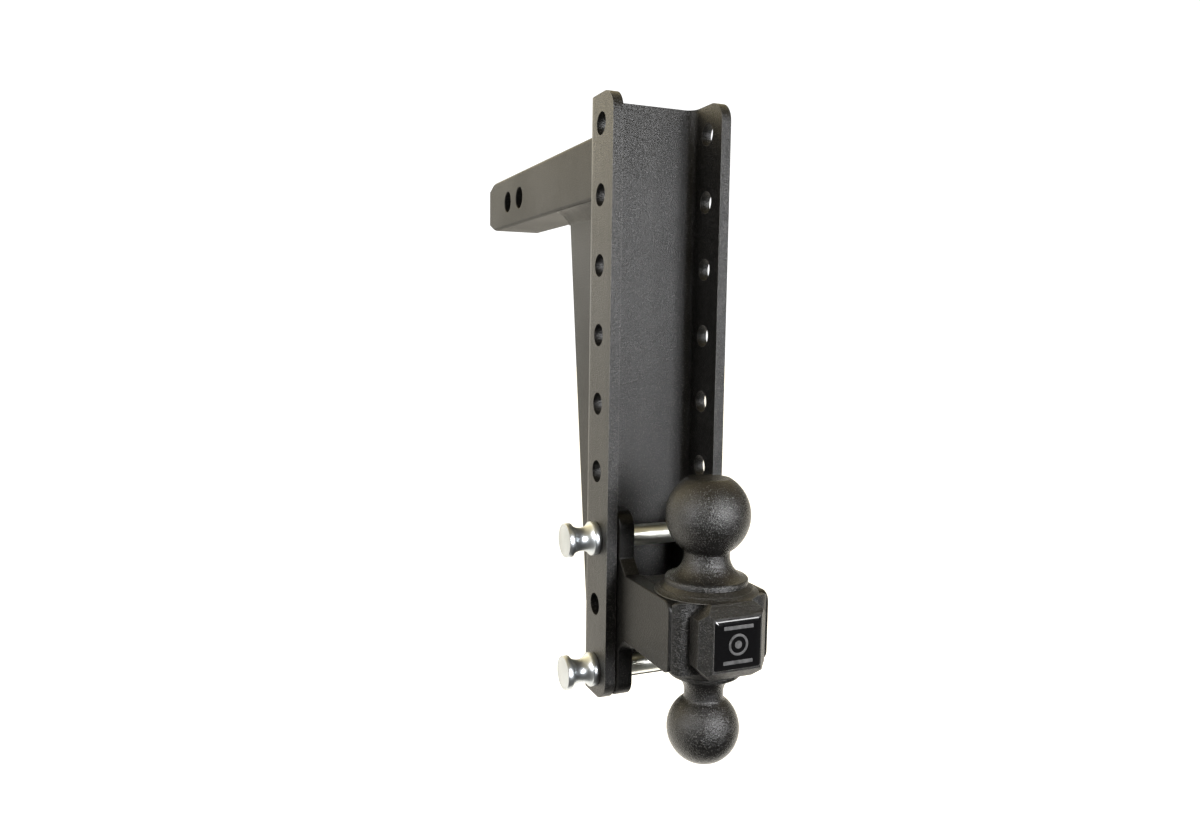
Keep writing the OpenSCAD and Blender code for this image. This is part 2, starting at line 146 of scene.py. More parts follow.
def new_object(name, verts, faces):
    """Mesh object from points in millimetres."""
    mesh = bpy.data.meshes.new(name)
    mesh.from_pydata([Vector(v) * MM for v in verts], [], faces)
    obj = bpy.data.objects.new(name, mesh)
    scene.collection.objects.link(obj)
    clean(obj)
    return obj


def prism(name, outline, axis, low, high):
    """Straight solid of a flat outline, which lies in the two axes other than axis."""
    point = {
        "X": lambda p, h: (h, p[0], p[1]),
        "Y": lambda p, h: (p[0], h, p[1]),
        "Z": lambda p, h: (p[0], p[1], h),
    }[axis]
    n = len(outline)
    verts = [point(p, low) for p in outline] + [point(p, high) for p in outline]
    faces = [list(range(n))[::-1], list(range(n, 2 * n))]
    for i in range(n):
        j = (i + 1) % n
        faces.append((i, j, n + j, n + i))
    return new_object(name, verts, faces)


def rod(name, axis, centre, r, low=-THROUGH, high=THROUGH, steps=72):
    """Round bar along an axis, through a point of the other two axes."""
    return prism(name, arc(*centre, r, 0, 360, steps)[:-1], axis, low, high)


def lathe(name, profile, centre, up, steps=128):
    """Turned solid. The profile is (radius, height), from the axis below to the axis above."""
    up = Vector(up)
    side = Vector((0, 1, 0)) if up.x else Vector((1, 0, 0))
    other = up.cross(side)
    centre = Vector(centre)
    verts, rings = [], []
    for r, h in profile:
        if r == 0:
            rings.append([len(verts)])
            verts.append(centre + up * h)
            continue
        rings.append(range(len(verts), len(verts) + steps))
        for i in range(steps):
            a = 2 * math.pi * i / steps
            verts.append(centre + up * h + (side * math.cos(a) + other * math.sin(a)) * r)
    faces = []
    for a, b in zip(rings, rings[1:]):
        for i in range(steps):
            j = (i + 1) % steps
            if len(a) == 1:
                faces.append((a[0], b[j], b[i]))
            elif len(b) == 1:
                faces.append((a[i], a[j], b[0]))
            else:
                faces.append((a[i], a[j], b[j], b[i]))
    return new_object(name, verts, faces)


def applied(obj):
    """Turns an object's modifiers into its mesh."""
    bpy.context.view_layer.update()
    done = obj.evaluated_get(bpy.context.evaluated_depsgraph_get())
    mesh = bpy.data.meshes.new_from_object(done)
    old = obj.data
    obj.modifiers.clear()
    obj.data = mesh
    mesh.name = obj.name
    bpy.data.meshes.remove(old)


def combine(obj, others, operation):
    """Boolean of obj with each of the others, which are used up."""
    for other in others:
        m = obj.modifiers.new("solid", "BOOLEAN")
        m.operation = operation
        m.solver = "EXACT"
        m.object = other
        applied(obj)
        bpy.data.objects.remove(other)
    clean(obj)


def smooth(obj, angle=35):
    """Shades the faces smooth, apart from edges sharper than the angle."""
    for p in obj.data.polygons:
        p.use_smooth = True
    obj.data.set_sharp_from_angle(angle=math.radians(angle))


def soften(obj, width, angle=15, segments=3):
    """Rounds every edge sharper than the angle and keeps the flats flat."""
    bm = bmesh.new()
    bm.from_mesh(obj.data)
    bmesh.ops.dissolve_limit(
        bm,
        angle_limit=math.radians(0.5),
        verts=bm.verts,
        edges=bm.edges,
        use_dissolve_boundaries=False,
    )
    bm.to_mesh(obj.data)
    bm.free()
    m = obj.modifiers.new("edge", "BEVEL")
    m.width = width * MM
    m.segments = segments
    m.limit_method = "ANGLE"
    m.angle_limit = math.radians(angle)
    m.use_clamp_overlap = True
    m.miter_outer = "MITER_ARC"
    applied(obj)
    clean(obj, 0.0005)
    smooth(obj)
    m = obj.modifiers.new("normals", "WEIGHTED_NORMAL")
    m.keep_sharp = True
    m.weight = 60
    applied(obj)


def place(obj, body, nodes, material):
    """Hands a finished piece over: its finish, its body and the CAD nodes it stands for."""
    obj.data.materials.clear()
    obj.data.materials.append(material)
    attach(obj, body)
    if nodes:
        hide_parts(*nodes)


# ---------------------------------------------------------------- node materials
class Nodes:
    """Short way to build a material's node tree round one Principled shader."""

    def __init__(self, name):
        self.material = bpy.data.materials.new(name)
        self.material.use_nodes = True
        self.tree = self.material.node_tree
        self.tree.nodes.clear()
        self.out = self.add("ShaderNodeOutputMaterial")
        self.shader = self.add("ShaderNodeBsdfPrincipled")
        self.link(self.shader, 0, self.out, 0)
        self.where = self.add("ShaderNodeTexCoord")

    def add(self, kind, **values):
        """Adds a node; a value is a property of it or else the default of the input so named."""
        node = self.tree.nodes.new(kind)
        for key, value in values.items():
            if hasattr(node, key):
                setattr(node, key, value)
            else:
                node.inputs[key.replace("_", " ")].default_value = value
        return node

    def link(self, a, out, b, into):
        self.tree.links.new(a.outputs[out], b.inputs[into])

    def noise(self, scale, detail=2.0, roughness=0.5, stretch=None, offset=None):
        mapping = self.add("ShaderNodeMapping")
        self.link(self.where, "Object", mapping, "Vector")
        if stretch:
            mapping.inputs["Scale"].default_value = stretch
        if offset:
            mapping.inputs["Location"].default_value = offset
        node = self.add("ShaderNodeTexNoise", Scale=scale, Detail=detail, Roughness=roughness)
        self.link(mapping, 0, node, "Vector")
        return node

    def ramp(self, source, stops):
        """Colours for a noise's value; each stop is (value, colour)."""
        node = self.add("ShaderNodeValToRGB")
        self.link(source, "Fac", node, 0)
        elements = node.color_ramp.elements
        while len(elements) < len(stops):
            elements.new(0.5)
        for element, (at, colour) in zip(elements, stops):
            element.position = at
            element.color = (*colour, 1)
        return node

    def spread(self, source, out, low, high, start=0.3, end=0.7):
        """Maps a texture's start to end range onto low to high."""
        node = self.add(
            "ShaderNodeMapRange", From_Min=start, From_Max=end, To_Min=low, To_Max=high
        )
        self.link(source, out, node, "Value")
        return node

    def bump(self, height, distance, after=None, strength=1.0):
        """Relief of a noise, its full height in millimetres, on top of an earlier one."""
        node = self.add("ShaderNodeBump", Strength=strength, Distance=distance * MM)
        self.link(height, "Fac", node, "Height")
        if after:
            self.link(after, 0, node, "Normal")
        return node


BLACK = (0.0042, 0.004, 0.0037)
# lighter colour of the coat's edges: rubbed wear together with a painted highlight on the rounded
# edge
RUBBED_EDGE_AND_HIGHLIGHT = (0.11, 0.107, 0.1, 1)


def powder_coat(
    name, rough, grain=1.0, depth=0.5, lumps=0.0, wear=0.0, ior=1.4, sparkle=9, rolled=0.0
):
    """Textured black powder coat: gritty skin, painted glints, tone drift, rubbed edges with a
    painted highlight.

    grain scales the coat's grains and its glints, depth is the grains' height, lumps and rolled are
    the heights of broad swells and of marks along the plate, all in millimetres; wear is how far
    edges are rubbed and lit by a painted highlight, and sparkle how much brighter than the coat its
    painted glints are.
    """
    m = Nodes(name)
    grit_and_glint_noise = m.noise(1000.0 / grain, 2.0, 0.55)
    fine = m.noise(2200.0 / grain, 2.0, 0.6, offset=(3.1, 1.7, 0.4))
    drift = m.noise(11.0, 4.0, 0.55)
    tone = m.ramp(drift, [(0.3, [c * 0.8 for c in BLACK]), (0.7, [c * 1.2 for c in BLACK])])
    # painted glints: grains of the coat lightened up to sparkle times, standing in for grains that
    # catch the light
    painted_glints = m.ramp(grit_and_glint_noise, [(0.42, [0.3] * 3), (0.56, [1.0] * 3), (0.7, [sparkle] * 3)])
    top = m.add("ShaderNodeMix", data_type="RGBA", blend_type="MULTIPLY", Factor=1.0)
    m.link(tone, "Color", top, "A")
    m.link(painted_glints, "Color", top, "B")
    if wear:
        # edges are painted lighter here, partly as rubbed wear and partly as a painted highlight
        # the bevel's normal turns away from the face's own near an edge
        edge = m.add("ShaderNodeBevel", samples=4, Radius=0.7 * MM)
        plain = m.add("ShaderNodeNewGeometry")
        dot = m.add("ShaderNodeVectorMath", operation="DOT_PRODUCT")
        m.link(edge, 0, dot, 0)
        m.link(plain, "Normal", dot, 1)
        edge_wear_and_highlight_mask = m.spread(dot, "Value", wear, 0.0, 0.86, 0.995)
        worn = m.add("ShaderNodeMix", data_type="RGBA", B=RUBBED_EDGE_AND_HIGHLIGHT)
        m.link(edge_wear_and_highlight_mask, 0, worn, "Factor")
        m.link(top, "Result", worn, "A")
        top = worn
    m.link(top, "Result", m.shader, "Base Color")
    gloss = m.spread(drift, "Fac", rough - 0.04, rough + 0.05)
    m.link(gloss, 0, m.shader, "Roughness")
    relief = m.bump(grit_and_glint_noise, depth)
    relief = m.bump(fine, depth * 0.35, relief)
    if lumps:
        relief = m.bump(m.noise(170.0, 3.0, 0.6), lumps, relief)
    if rolled:
        # faint marks that run along the plate, left by the mill under the coat
        marks = m.noise(1.0, 2.0, 0.5, stretch=(120.0, 120.0, 2.5))
        relief = m.bump(marks, rolled, relief)
    m.link(relief, 0, m.shader, "Normal")
    m.shader.inputs["IOR"].default_value = ior
    return m.material


def turned_steel(name, colour, rough, axis, line=0.35, streak=0.06):
    """Polished steel with fine rings across its axis (0 to 2), spaced line millimetres apart."""
    m = Nodes(name)
    stretch = [40.0, 40.0, 40.0]
    stretch[axis] = 1000.0 / line
    rings = m.noise(1.0, 3.0, 0.6, stretch=stretch)
    smudge = m.noise(85.0, 4.0, 0.6)
    dull, bright = ([min(1, c * k) for c in colour] for k in (0.93, 1.05))
    tone = m.ramp(smudge, [(0.3, dull), (0.7, bright)])
    m.link(tone, "Color", m.shader, "Base Color")
    m.shader.inputs["Metallic"].default_value = 1.0
    base = m.spread(rings, "Fac", rough - streak * 0.6, rough + streak)
    extra = m.spread(smudge, "Fac", -0.02, 0.05)
    total = m.add("ShaderNodeMath", operation="ADD")
    m.link(base, 0, total, 0)
    m.link(extra, 0, total, 1)
    m.link(total, 0, m.shader, "Roughness")
    m.link(m.bump(rings, 0.012, strength=0.25), 0, m.shader, "Normal")
    return m.material


def gloss_badge(name):
    """Black resin badge: deep gloss with a few faint handling marks."""
    m = Nodes(name)
    marks = m.noise(400.0, 4.0, 0.7, stretch=(1, 1, 3))
    tone = m.ramp(marks, [(0.3, (0.0012, 0.0012, 0.0014)), (0.75, (0.003, 0.003, 0.0035))])
    m.link(tone, "Color", m.shader, "Base Color")
    m.link(m.spread(marks, "Fac", 0.07, 0.13), 0, m.shader, "Roughness")
    m.shader.inputs["IOR"].default_value = 1.45
    m.link(m.bump(marks, 0.004, strength=0.1), 0, m.shader, "Normal")
    return m.material


def satin_print(name):
    """Satin grey of the raised badge sign, slightly worn."""
    m = Nodes(name)
    grain = m.noise(1500.0, 3.0, 0.6)
    wear = m.noise(260.0, 4.0, 0.7)
    tone = m.ramp(wear, [(0.3, (0.02, 0.02, 0.02)), (0.62, (0.085, 0.085, 0.087))])
    m.link(tone, "Color", m.shader, "Base Color")
    m.shader.inputs["Metallic"].default_value = 0.2
    m.link(m.spread(grain, "Fac", 0.35, 0.5), 0, m.shader, "Roughness")
    m.link(m.bump(grain, 0.02, strength=0.3), 0, m.shader, "Normal")
    return m.material


channel_coat = powder_coat("channel_powder_coat", 0.36, wear=0.5, rolled=0.14)
plate_coat = powder_coat("plate_powder_coat", 0.36, depth=0.2, wear=0.5, ior=1.26, sparkle=4)
bar_coat = powder_coat("bar_powder_coat", 0.5, depth=0.2, wear=0.5, ior=1.31, sparkle=4)
weld_coat = powder_coat("weld_powder_coat", 0.33, depth=0.3, lumps=0.3)
forging_coat = powder_coat(
    "forging_powder_coat", 0.3, grain=0.97, depth=0.55, lumps=0.7, wear=0.4
)
ball_coat = powder_coat("ball_powder_coat", 0.22, grain=0.97, lumps=0.2, ior=1.47, sparkle=8)
stainless = turned_steel("polished_stainless", (0.47, 0.495, 0.515), 0.33, 0, streak=0.04)
pin_steel = turned_steel("bright_pin_steel", (0.8, 0.81, 0.75), 0.3, 0, line=0.18, streak=0.02)
wire_steel = turned_steel("zinc_spring_wire", (0.62, 0.62, 0.6), 0.28, 2, line=0.5)
badge_gloss = gloss_badge("badge_gloss_black")
badge_grey = satin_print("badge_satin_grey")


# ---------------------------------------------------------------- weldment
def build_channel():
    half = CHANNEL_HIGH.x
    front, back = CHANNEL_LOW.y, CHANNEL_HIGH.y
    z0, z1 = CHANNEL_LOW.z, CHANNEL_HIGH.z
    # plate thickness, and the radii of its two bends and of the flanges' front corners
    plate, outer, corner = 7.94, 16.0, 15.8
    inner = outer - plate
    inside = half - plate
    outline = [(-half, front), (-inside, front)]
    outline += arc(-inside + inner, back - outer, inner, 180, 90)
    outline += arc(inside - inner, back - outer, inner, 90, 0)
    outline += [(inside, front), (half, front)]
    outline += arc(half - outer, back - outer, outer, 0, 90, 20)
    outline += arc(-half + outer, back - outer, outer, 90, 180, 20)
    channel = prism("channel_plate", outline, "Z", z0, z1)
    side = [(back + 5, z0), (back + 5, z1)]
    side += arc(front + corner, z1 - corner, corner, 90, 180, 22)
    side += arc(front + corner, z0 + corner, corner, 180, 270, 22)
    combine(channel, [prism("side", side, "X", -THROUGH, THROUGH)], "INTERSECT")
    hole_r = 8.335
    holes = [rod("hole", "X", (HOLE_Y, HOLE_Z + PITCH * i), hole_r) for i in range(HOLES)]
    combine(channel, holes, "DIFFERENCE")
    soften(channel, 0.7)
    place(channel, "weldment", ["channel"], channel_coat)


def build_shank():
    half = SHANK_HIGH.x
    y0, y1 = SHANK_LOW.y, SHANK_HIGH.y
    bar = prism("shank_bar", rounded_rect(-half, -half, half, half, 3, 10), "Y", y0, y1)
    # sloped lead-in above and below: its length and its depth
    lead, deep = 19.5, 7.6
    side = [
        (y0 - 1, -half - 1),
        (y1 - lead, -half - 1),
        (y1 - lead, -half),
        (y1, -half + deep),
        (y1, half - deep),
        (y1 - lead, half),
        (y1 - lead, half + 1),
        (y0 - 1, half + 1),
    ]
    combine(bar, [prism("side", side, "X", -THROUGH, THROUGH)], "INTERSECT")
    receiver_hole_r, second_hole = 10.3, -38.1
    holes = [rod("hole", "X", (y, 0), receiver_hole_r) for y in (0, second_hole)]
    combine(bar, holes, "DIFFERENCE")
    soften(bar, 0.8)
    place(bar, "weldment", ["shank"], bar_coat)


def build_gusset():
    web = GUSSET_LOW.y
    low, top = GUSSET_LOW.z, GUSSET_HIGH.z
    outline = [
        (web, low),
        (web + GUSSET_FOOT, low),
        (web + GUSSET_BEND, HOLE_Z + GUSSET_BEND_RISE),
        (web + GUSSET_TOP, top),
        (web, top),
    ]
    plate = prism("gusset_plate", outline, "X", GUSSET_LOW.x, GUSSET_HIGH.x)
    soften(plate, 1.0)
    place(plate, "weldment", ["gusset"], plate_coat)


# ---------------------------------------------------------------- welds
# directions in which a bead's two legs lie
UP, DOWN = (0, 0, 1), (0, 0, -1)
LEFT, RIGHT = (-1, 0, 0), (1, 0, 0)
BACK = (0, 1, 0)


def bead_stations(corners, step=0.45):
    """Even stations along a chain of corners (point, leg a, leg b), with turning at each corner."""
    # a leg's turn in radians takes as many stations as this length times it
    turn_length = 9
    stations = []
    for (p, a, b), (q, c, d) in zip(corners, corners[1:]):
        p, q = Vector(p), Vector(q)
        a, b, c, d = (Vector(v).normalized() for v in (a, b, c, d))
        travel = max((q - p).length, a.angle(c, 0) * turn_length, b.angle(d, 0) * turn_length)
        n = max(1, round(travel / step))
        for i in range(n):
            t = i / n
            stations.append((p.lerp(q, t), a.lerp(c, t).normalized(), b.lerp(d, t).normalized()))
    p, a, b = corners[-1]
    stations.append((Vector(p), Vector(a).normalized(), Vector(b).normalized()))
    return stations


def bead_mesh(name, chains, leg, hollow=0.1, ripple=0.22, pitch=2.3, across=9, closed=False):
    """Weld beads along chains of stations: a slightly hollow face with curved ripples."""
    # depth of the bead's hidden corner, and how far its ripples lag in the middle, in pitches
    tuck, lag = 0.4, 1.1
    verts, faces = [], []
    row = across + 1
    for k, stations in enumerate(chains):
        first = len(verts)
        count = len(stations)
        mids = [p + (a + b) * leg * 0.5 for p, a, b in stations]
        around = sum((q - p).length for p, q in zip(mids, mids[1:] + mids[:1]))
        run = 0.0
        for s, (p, a, b) in enumerate(stations):
            if s:
                run += (mids[s] - mids[s - 1]).length
            if closed:
                turn = 2 * math.pi * s / count
                wobble = noise.noise(Vector((math.cos(turn) * 2, math.sin(turn) * 2, k * 3.1)))
                start = round(around / pitch) * s / count
            else:
                wobble = noise.noise(Vector((run * 0.045, k * 7.3, 1.7)))
                start = run / pitch
            size = leg * (0.96 + 0.05 * wobble)
            out = (a + b).normalized()
            verts.append(p - out * tuck)
            for i in range(across):
                t = i / (across - 1)
                bow = 4 * t * (1 - t)
                phase = start + bow * lag
                lip = 1 - (phase - math.floor(phase))
                wave = lip * lip * min(1, bow * 2.2)
                lift = ripple * wave - hollow * leg * bow - ripple * 0.5
                verts.append(p + (a * (1 - t) + b * t) * size + out * lift)
        for s in range(count if closed else count - 1):
            for i in range(row):
                j = (i + 1) % row
                a0 = first + s * row
                b0 = first + ((s + 1) % count) * row
                faces.append((a0 + i, a0 + j, b0 + j, b0 + i))
        if not closed:
            faces.append([first + i for i in range(row)])
            faces.append([first + (count - 1) * row + i for i in range(row)][::-1])
    obj = new_object(name, verts, faces)
    smooth(obj, 50)
    return obj


def build_shank_weld():
    """Up the shank's left side, over its top and down its right side, on the channel's back."""
    web = SHANK_LOW.y
    half = SHANK_HIGH.x
    r = 3.0

    def corner(side, angles):
        """Stations round a top corner; an angle of 0 faces sideways and one of 90 up."""
        found = []
        for a in angles:
            c, s = math.cos(math.radians(a)), math.sin(math.radians(a))
            point = (side * (half - r + r * c), web, half - r + r * s)
            found.append((point, (side * c, 0, s), BACK))
        return found

    chain = [((-half, web, -half), LEFT, BACK), ((-half, web, half - r), LEFT, BACK)]
    chain += corner(-1, (22.5, 45, 67.5))
    chain += [((-half + r, web, half), UP, BACK), ((half - r, web, half), UP, BACK)]
    chain += corner(1, (67.5, 45, 22.5))
    chain += [((half, web, half - r), RIGHT, BACK), ((half, web, -half), RIGHT, BACK)]
    weld = bead_mesh("shank_weld_bead", [bead_stations(chain)], 10)
    place(weld, "weldment", ["shank_weld"], weld_coat)


def upright_seam(x, y, low, high, way):
    """Stations up a corner between a face that looks along x, to the way's side, and a rear one."""
    return bead_stations([((x, y, z), (way, 0, 0), BACK) for z in (low, high)])


def build_gusset_welds():
    """Under the shank round the gusset's back, and down both of its sides on the channel."""
    web = SHANK_LOW.y
    half = GUSSET_HIGH.x
    back = web + GUSSET_TOP
    low, top = GUSSET_LOW.z, GUSSET_HIGH.z
    fall = Vector((0, GUSSET_BEND - GUSSET_TOP, HOLE_Z + GUSSET_BEND_RISE - top)).normalized()
    turning = (0, fall.y * 0.5, fall.z)
    chain = [
        ((-half, web, top), LEFT, DOWN),
        ((-half, back, top), LEFT, DOWN),
        ((-half, back, top), (-1, 1, 0), turning),
        ((-half, back, top), BACK, fall),
        ((half, back, top), BACK, fall),
        ((half, back, top), (1, 1, 0), turning),
        ((half, back, top), RIGHT, DOWN),
        ((half, web, top), RIGHT, DOWN),
    ]
    under = bead_mesh("gusset_top_bead", [bead_stations(chain)], 12, hollow=0.16)
    sides = [upright_seam(s * half, web, low, top, s) for s in (-1, 1)]
    seams = bead_mesh("gusset_side_beads", sides, 8)
    place(under, "weldment", ["gusset_welds"], weld_coat)
    place(seams, "weldment", [], weld_coat)


def build_cheek_welds():
    """Up the corners between the cheek plates' inner faces and the block's rear."""
    inner, rear = CHEEK_LOW.x, BLOCK_HIGH.y
    low, high = BLOCK_Z - HALF_H, BLOCK_Z + HALF_H
    seams = [upright_seam(s * inner, rear, low, high, -s) for s in (-1, 1)]
    cheeks = bead_mesh("cheek_weld_beads", seams, 6)
    place(cheeks, "ball_mount", ["cheek_welds"], weld_coat)


def build_ball_welds():
    """Rings round the balls' collars, on the pads."""
    stations = 360
    rings = []
    for r, z, way in (
        (TOP_COLLAR[0], BLOCK_Z + HALF_H + TOP_PAD[2], UP),
        (LOW_COLLAR[0], BLOCK_Z - HALF_H - LOW_PAD[2], DOWN),
    ):
        ring = []
        for i in range(stations):
            a = 2 * math.pi * i / stations
            spoke = Vector((math.cos(a), math.sin(a), 0))
            ring.append((Vector((0, BALL_Y, z)) + spoke * r, spoke, Vector(way)))
        rings.append(ring)
    beads = bead_mesh(
        "ball_weld_rings", rings, 3, hollow=0.0, ripple=0.14, pitch=1.8, across=7, closed=True
    )
    place(beads, "ball_mount", ["ball_welds"], weld_coat)


# ---------------------------------------------------------------- ball mount
def build_block():
    zc = BLOCK_Z
    z0, z1 = zc - HALF_H, zc + HALF_H
    half_w, core = CHEEK_HIGH.x, CHEEK_LOW.x
    shoulder, rear = CHEEK_LOW.y, BLOCK_HIGH.y
    front = BLOCK_LOW.y
    face = front + 18
    # narrow core between the cheek plates
    plan = [(-core, face + 3), (core, face + 3), (core, rear), (-core, rear)]
    block = prism("forged_block", plan, "Z", z0, z1)
    # wide head in front of the cheek plates, round at its corners in plan and from in front
    corner, front_corner, overlap = 12.5, 7, 20
    plan = [(-half_w, shoulder + overlap)]
    plan += arc(-half_w + corner, face + corner, corner, 180, 270, 16)
    plan += arc(half_w - corner, face + corner, corner, 270, 360, 16)
    plan += [(half_w, shoulder + overlap)]
    head = prism("head", plan, "Z", z0, z1)
    outline = rounded_rect(-half_w, z0, half_w, z1, front_corner, 12)
    combine(head, [prism("cut", outline, "Y", face - 5, shoulder)], "INTERSECT")
    # front boss: a square with cut corners, sloped back all round its front
    half, slope, cut = 25.4, 7.3, 9.5
    b = half - cut
    ring = [(-half, -b), (-b, -half), (b, -half), (half, -b)]
    ring += [(half, b), (b, half), (-b, half), (-half, b)]
    boss = prism("boss", [(x, zc + z) for x, z in ring], "Y", front, face + 4)
    wedge = [
        (-half, face + 5),
        (-half, front + slope),
        (-half + slope, front),
        (half - slope, front),
        (half, front + slope),
        (half, face + 5),
    ]
    across = prism("wedge", wedge, "Z", zc - THROUGH, zc + THROUGH)
    upright = prism("wedge", [(y, zc + x) for x, y in wedge], "X", -THROUGH, THROUGH)
    combine(boss, [across, upright], "INTERSECT")
    pads = []
    for (top, low, tall), z, way in ((TOP_PAD, z1, UP), (LOW_PAD, z0, DOWN)):
        # rooted in the core, with the hollow flank that the forging die leaves
        root, lip = -4, 0.5
        outline = [(0, root), (core - 1, root), (core - 1, 0), (low, 0), (low - 0.3, lip)]
        for t in (0.25, 0.5, 0.75):
            outline.append((low - (low - top) * t**0.6, lip + (tall - lip) * t))
        outline += [(top, tall), (0, tall)]
        pads.append(lathe("pad", outline, (0, BALL_Y, z), way, 120))
    combine(block, [head, boss] + pads, "UNION")
    # shallow pocket that the badge lies in
    wide, tall, pocket_corner = 17.35, 16.65, 1.55
    outline = rounded_rect(-wide, zc - tall, wide, zc + tall, pocket_corner, 8)
    combine(block, [prism("pocket", outline, "Y", front - 2, front + 1)], "DIFFERENCE")
    soften(block, 0.9, angle=20)
    place(block, "ball_mount", ["ball_block"], forging_coat)


def build_cheeks():
    y0, y1 = CHEEK_LOW.y, CHEEK_HIGH.y
    lug_front = HOLE_Y - 24.2
    # the step from arm to lug, the radii of the lug's and the arm's corners, the pin holes
    slope, lug_r, arm_r, hole_r = 10.0, 12.0, 7.0, 8.15

    def half(tall):
        """Outline from the rear edge over the lug's end to the arm's front, about z = 0."""
        points = arc(y1 - lug_r, tall - lug_r, lug_r, 0, 90)
        points += arc(lug_front + lug_r, tall - lug_r, lug_r, 90, 180)
        points += [(lug_front, HALF_H + slope), (lug_front - slope, HALF_H)]
        return points + arc(y0 + arm_r, HALF_H - arm_r, arm_r, 90, 180, 10)

    upper = half(CHEEK_HIGH.z - BLOCK_Z)
    lower = [(y, -z) for y, z in reversed(half(BLOCK_Z - CHEEK_LOW.z))]
    outline = [(y, BLOCK_Z + z) for y, z in upper + lower]
    for name, x0, x1 in (
        ("left_cheek", -CHEEK_HIGH.x, -CHEEK_LOW.x),
        ("right_cheek", CHEEK_LOW.x, CHEEK_HIGH.x),
    ):
        plate = prism(name, outline, "X", x0, x1)
        holes = [rod("hole", "X", (HOLE_Y, pin.z), hole_r) for pin in (LOWER_PIN, UPPER_PIN)]
        combine(plate, holes, "DIFFERENCE")
        soften(plate, 1.0)
        place(plate, "ball_mount", [name + "_plate"], plate_coat)


def ball_profile(r, rise, flat, neck, flare, collar, collar_t):
    """Half outline of a ball, from the axis below its pad to the axis at its flat top.

    rise is the ball's centre above the pad and flat the top above that centre; neck is the
    neck's radius and flare the radius of the curve from the collar up into it.
    """
    sunk, edge, spigot = 3, 0.8, collar - 6
    nick = edge * 0.3
    points = [(0, -sunk), (spigot, -sunk), (spigot, 0), (collar - edge, 0)]
    points += [(collar - nick, nick), (collar, edge)]
    points += [(collar, collar_t - edge), (collar - nick, collar_t - nick)]
    points += [(collar - edge, collar_t)]
    flare_z = collar_t + flare
    lean = math.degrees(math.asin((neck + flare - collar + edge) / flare))
    points += arc(neck + flare, flare_z, flare, 270 - lean, 180, 21)
    # neck, then the ball with a small fillet between them
    meet = math.degrees(math.asin((neck + 1.0) / r))
    low = rise - r * math.cos(math.radians(meet))
    points += [(neck, (flare_z + low) / 2), (neck, low - 2.0), (neck + 0.25, low - 1.0)]
    top = math.degrees(math.acos(flat / r))
    points += arc(0, rise, r, meet - 90, 90 - top, 64)
    rim = r * math.sin(math.radians(top))
    points += [(rim - 0.8, rise + flat + 0.12), (rim - 2.0, rise + flat + 0.15)]
    return points + [(0, rise + flat + 0.15)]


def build_balls():
    # height of each ball's centre from the block's middle
    upper_rise, lower_rise = 77.4, 73.3
    top, bottom = HALF_H + TOP_PAD[2], HALF_H + LOW_PAD[2]
    upper = ball_profile(29.37, upper_rise - top, 25.25, 15.75, 15.5, *TOP_COLLAR)
    lower = ball_profile(25.4, lower_rise - bottom, 21.65, 13.65, 14, *LOW_COLLAR)
    for name, profile, z, way in (
        ("upper_ball", upper, BLOCK_Z + top, UP),
        ("lower_ball", lower, BLOCK_Z - bottom, DOWN),
    ):
        ball = lathe(name + "_turned", profile, (0, BALL_Y, z), way, 144)
        smooth(ball, 38)
        place(ball, "ball_mount", [name], ball_coat)


def build_badge():
    low, high = box_mm("badge_plate")
    zc = (low.z + high.z) / 2
    # slightly domed tile: (how far in, how far behind the middle) of each ring of its outline
    steps = ((0.0, 0.95), (0.3, 0.8), (1.1, 0.53), (2.0, 0.27), (3.0, 0.06), (4.0, 0.0))
    rings = [(0.0, high.y)] + [(inset, low.y + depth) for inset, depth in steps]
    verts, faces = [], []
    for inset, y in rings:
        r = max(0.2, 1.5 - inset * 0.4)
        ring = rounded_rect(
            low.x + inset, low.z + inset, high.x - inset, high.z - inset, r, 10
        )
        verts += [(x, y, z) for x, z in ring]
    n = len(verts) // len(rings)
    for k in range(len(rings) - 1):
        for i in range(n):
            j = (i + 1) % n
            faces.append((k * n + i, k * n + j, (k + 1) * n + j, (k + 1) * n + i))
    faces += [list(range(n)), list(range(len(verts) - n, len(verts)))]
    plate = new_object("badge_tile", verts, faces)
    smooth(plate, 50)
    place(plate, "ball_mount", ["badge_plate"], badge_gloss)

    # sign: a ring with a dot in it, between two bars
    low, high = box_mm("badge_emblem")
    y0, y1 = low.y, high.y
    long, thick, apart = 11, 1.2, 11.6
    ring_r, bore_r, dot_r = 7.2, 5.6, 2.6
    sign, bar = (
        prism(name, rounded_rect(-long, z - thick, long, z + thick, 0.5, 5), "Y", y0, y1)
        for name, z in (("badge_sign", zc - apart), ("bar", zc + apart))
    )
    ring = rod("ring", "Y", (0, zc), ring_r, y0, y1, 96)
    combine(ring, [rod("bore", "Y", (0, zc), bore_r, y0 - 1, y1 + 1, 96)], "DIFFERENCE")
    dot = rod("dot", "Y", (0, zc), dot_r, y0, y1, 64)
    combine(sign, [bar, ring, dot], "UNION")
    soften(sign, 0.12, segments=2)
    place(sign, "ball_mount", ["badge_emblem"], badge_grey)


# ---------------------------------------------------------------- pins and clips
def pin_profile(r, length):
    """Plain shaft with a chamfered far end."""
    profile = [(0, 0), (r, 0), (r, length - 1.8), (r - 0.15, length - 1.4)]
    return profile + [(r - 1.5, length - 0.1), (r - 1.9, length), (0, length)]


